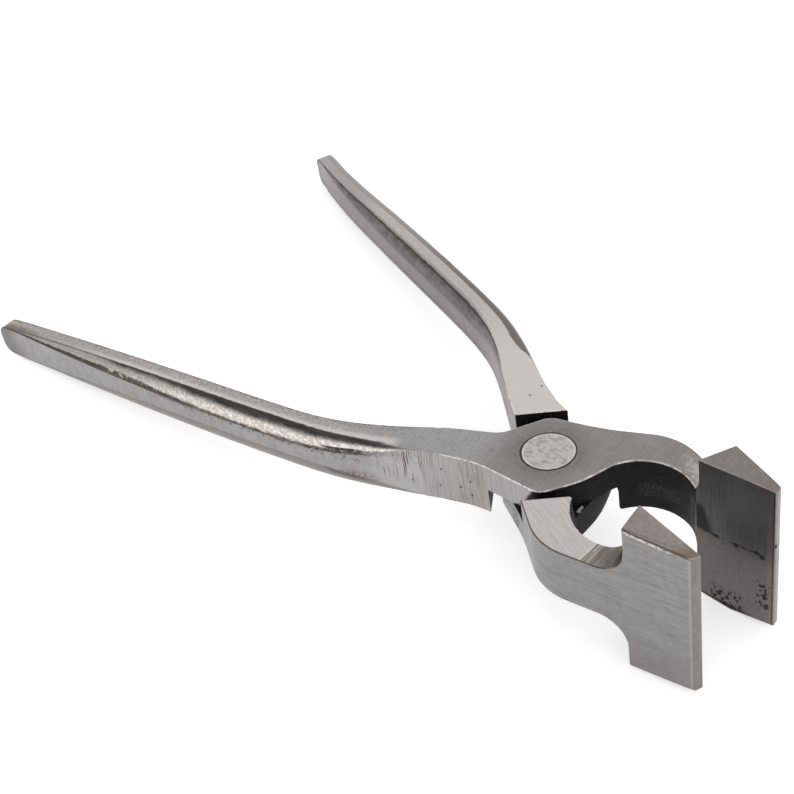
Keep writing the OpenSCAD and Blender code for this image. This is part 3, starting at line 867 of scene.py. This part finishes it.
# Each finish of the tool steel: its name, what differs from the plain look, and the marks on it
finishList = {
    # Flats off a surface grinder: even grey with fine straight lines
    "topFlat": ("tool steel flats, surface ground", {"line": (10, 0.4)}, topFlatMarks),
    # Sides of the grip, linished across: smooth blue grey with soft broad lines
    "gripSideOuter": ("tool steel grip side, linished across", {
        "dark": "8f8c8d", "light": "9a9798", "line": (6, 1.2), "cloud": 3.0, "cloudTone": "a2a0a1",
        "cloudShare": 0.4, "speckTone": "6c6867", "speckShare": 0.5, "speckStart": 0.68}, outerSideMarks),
    # Inner sides are ground less: duller and darker, with lines across
    "gripSideInner": ("tool steel inner grip side, rough linished", {
        "dark": "706c6b", "light": "878281", "line": (9, 0.5), "cloud": 7.0, "cloudTone": "827d7b"},
        innerSideMarks),
    # Bevels as forged: dark skin with pits, which the hand polishes bright on the round of the bevel;
    # the dark skin and the bright band also stand for reflections, as painted shade and a painted highlight
    "gripBevelOuter": ("tool steel bevel, drop forged and hand worn", {
        "dark": "393534", "light": "504b49", "line": (7, 0.6), "cloudShare": 0.1, "cloudTone": "5b5452",
        "rough": 0.32, "grain": 0.9, "bump": 0.4}, outerBevelMarks),
    # The inner bevels are brushed over the forged skin: dark with soft clouds and no bright band
    "gripBevelInner": ("tool steel inner bevel, drop forged and brushed", {
        "dark": "4e4a4a", "light": "686362", "line": (6, 0.7), "cloud": 4.0, "cloudTone": "7c7776",
        "cloudShare": 0.45}, innerBevelMarks),
    # Scale left by the hammer: black, matt and granular, and less of a mirror than bare steel
    "forgeScale": ("forge scale on tool steel, as forged", {
        "dark": "0c0b0d", "light": "19181a", "line": (1.0, 0.8), "cloud": 2.2, "cloudTone": "100f11",
        "speckShare": 0.0, "rough": 0.62, "metallic": 0.6, "grain": 0.7, "grainShare": 2.0, "bump": 0.8},
        scaleMarks),
    # Jaw roots cut by a round-nosed mill: coarse warm grey grooves
    "fillet": ("tool steel jaw root, milled", {
        "dark": "6a625d", "light": "8a827c", "line": (12, 0.6), "cloudTone": "7a716b", "bump": 0.5},
        filletMarks),
    # Inner jaw faces brushed up and down over the scale: dark grey, soft upright lines
    "jawFace": ("tool steel jaw face, brushed upright over scale", {
        "dark": "4d4b4c", "light": "575556", "line": (10, 0.5), "cloud": 5.0, "cloudTone": "545150",
        "cloudShare": 0.4, "speckTone": "2e2c2c", "speckShare": 0.5, "speckStart": 0.64}, jawFaceMarks),
    # Outer sides of the arm and jaw off a fine belt: even cool grey, fine level lines
    "jawOuter": ("tool steel outer side, belt ground", {
        "dark": "7a7877", "light": "8d8b8b", "line": (7, 0.3), "cloud": 2.2, "cloudTone": "919090",
        "speckShare": 0.3, "cloudShare": 0.35}, jawOuterMarks),
    # Jaw ends ground by hand: warm grey with slanted lines
    "jawEnd": ("tool steel jaw end, hand ground", {
        "dark": "877f7c", "light": "8f8885", "line": (8, 0.25), "cloud": 2.5, "cloudTone": "958e8b",
        "cloudShare": 0.5, "speckShare": 0.3}, jawEndMarks),
    # Narrow strips at the tips, filed: mid grey with upright streaks
    "tipStrip": ("tool steel jaw tip, filed upright", {
        "dark": "736d6a", "light": "807a77", "line": (9, 0.5), "cloud": 4.0, "cloudTone": "8a8380",
        "cloudShare": 0.4}, tipMarks),
    # Flanks ground upright on a coarse wheel: bright, with lines that catch the light
    "flankSide": ("tool steel flank, coarse ground upright", {
        "dark": "918e8c", "light": "a6a3a2", "line": (9, 0.3), "cloud": 5.0, "cloudTone": "a19e9c",
        "speckStart": 0.68, "speckShare": 0.4}, flankMarks),
    # Edges: bright where use has polished them, dull where only ground, dark where the skin is left
    "edgeWorn": ("tool steel edge, polished by wear", {
        "dark": "cfcac6", "light": "ebe7e3", "line": (3, 1), "cloud": 2.0, "cloudTone": "b1aca8",
        "rough": 0.3}, wornMarks),
    "edgeDull": ("tool steel edge, ground", {
        "dark": "8f8a87", "light": "a8a3a0", "line": (3, 1), "cloud": 2.0, "cloudTone": "898482"},
        wornMarks),
    "edgeDark": ("tool steel edge, forged skin left on", {
        "dark": "4b4543", "light": "6b6461", "line": (3, 1), "cloud": 2.0, "cloudTone": "59524f"}, None),
}
slotNames = list(finishList)
# Where the two hand-finished halves differ in tone
ownTones = {
    ("upper", "jawEnd"): {"dark": "7d7673", "light": "878180", "cloudTone": "8c8582"},
    ("upper", "tipStrip"): {"dark": "7d7875", "light": "8b8683", "cloudTone": "938e8b"},
    ("lower", "flankSide"): {"dark": "6b6765", "light": "8a8684", "cloudTone": "7b7775"},
}
finishes = {"upper": {}, "lower": {}}
for half in finishes:
    for slot, (made, changes, marks) in finishList.items():
        look = {**plain, **changes, **ownTones.get((half, slot), {})}
        finishes[half][slot] = steel(half + " " + made, half, look, marks)
print("finishes made:", len(finishList) * 2)

upperSteel = dressHalf("upper_half", "upper")
lowerSteel = dressHalf("lower_half", "lower")
print("halves dressed:", len(upperSteel.data.polygons), len(lowerSteel.data.polygons))


# Rivet: mild steel heads ground flush with the joint, light and scuffed, a bright rim inside a dark gap.
# It has no map for the plain look's lines, so those are drawn too large to show and its own are painted on.
rivetLook = {
    **plain, "dark": "a59f9c", "light": "bfb9b5", "line": (400, 400), "cloud": 3.0, "cloudTone": "b0aaa6",
    "speckTone": "8a8481", "speckStart": 0.64,
}


def rivetMarks(tree, at, tone, half):
    across = noise(tree, at["closed"], (0.35, 7, 7), 151, 3.0)
    tone = paint(tree, tone, times(tree, fade(tree, across, 0.62, 0.42), 0.4), "cfc8c4")
    scuffs = patches(tree, at["closed"], 2.6, 152, 0.5, 0.12)
    scuffs = times(tree, scuffs, patches(tree, at["closed"], 0.6, 153, 0.42, 0.2))
    tone = paint(tree, tone, times(tree, scuffs, 0.5), "7d7774")
    clouds = patches(tree, at["closed"], (2.2, 1.2, 2.2), 155, 0.5, 0.12)
    tone = paint(tree, tone, times(tree, clouds, 0.5), "8b8582")
    ring = fromPivot(tree, at)
    tone = paint(tree, tone, times(tree, band(tree, ring, 6.6, 0.12, 0.2), 0.5), "d9d2cd")
    inward = wobble(tree, times(tree, ring, -1), at["closed"], 1.5, 0.2, 154)
    return paint(tree, tone, fade(tree, inward, -6.98, -6.82), "403a38")


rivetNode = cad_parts["rivet"]
rivetNode.data.materials.clear()
rivetNode.data.materials.append(steel("mild steel rivet head, ground flush", "upper", rivetLook, rivetMarks))
print("rivet finished")

# Floor: lies against the jaws' lower ends and the handle ends, as the tool rests. It is matt white paper,
# lit a little from within where the camera or a reflection sees it, so that it is as white as the backdrop.
floorLook = {"tilt": 4.6, "size": 6.0, "paper": "f2f2f2", "glow": "ffffff", "glowStrength": 0.45}
lean = radians(floorLook["tilt"])
up = Vector((sin(lean), 0, cos(lean)))
lowest = min(up.dot(v.co) for piece in (upperSteel, lowerSteel) for v in piece.data.vertices)
bpy.ops.object.select_all(action="DESELECT")
bpy.ops.mesh.primitive_plane_add(size=floorLook["size"], location=up * lowest, rotation=(0, lean, 0))
floor = bpy.context.object
floor.name = "floor"
paper = bpy.data.materials.new("white paper, matt and unprinted")
paper.use_nodes = True
tree = paper.node_tree
tree.nodes.clear()
rays = addNode(tree, "LightPath").outputs
seen = stronger(tree, rays["Is Camera Ray"], rays["Is Glossy Ray"])
seen = stronger(tree, seen, rays["Is Transmission Ray"])
matt = addNode(tree, "BsdfDiffuse", {"Color": linear(floorLook["paper"])})
glow = addNode(tree, "Emission", {"Color": linear(floorLook["glow"]), "Strength": floorLook["glowStrength"]})
both = addNode(tree, "AddShader", {0: matt.outputs["BSDF"], 1: glow.outputs["Emission"]})
mixed = addNode(tree, "MixShader", {0: seen, 1: matt.outputs["BSDF"], 2: both.outputs["Shader"]})
addNode(tree, "OutputMaterial", {"Surface": mixed.outputs["Shader"]})
floor.data.materials.append(paper)
print("floor laid")

# Light: an even white room, a little darker high up on one side so that rounded steel has a shape to show
room = {
    "white": (1.0, 1.0, 1.0, 1), "strength": 1.0,
    "shade": (0.35, 0.35, 0.36, 1), "shadeShare": 0.3,
    "shadeWay": (-0.52, -0.55, 0.65), "shadeFull": 0.96, "shadeGone": 0.6,
}
world = bpy.data.worlds.new("studio")
scene.world = world
world.use_nodes = True
tree = world.node_tree
tree.nodes.clear()
rays = addNode(tree, "LightPath").outputs
way = addNode(tree, "TexCoord").outputs["Generated"]
facing = addNode(tree, "VectorMath", {0: way, 1: room["shadeWay"]}, operation="DOT_PRODUCT")
shade = fade(tree, facing.outputs["Value"], room["shadeFull"], room["shadeGone"])
shade = times(tree, shade, room["shadeShare"])
walls = paint(tree, room["white"], shade, room["shade"])
inside = addNode(tree, "Background", {"Color": walls, "Strength": room["strength"]})
white = addNode(tree, "Background", {"Color": room["white"], "Strength": room["strength"]})
sides = {0: rays["Is Camera Ray"], 1: inside.outputs["Background"], 2: white.outputs["Background"]}
mixed = addNode(tree, "MixShader", sides)
addNode(tree, "OutputWorld", {"Surface": mixed.outputs["Shader"]})
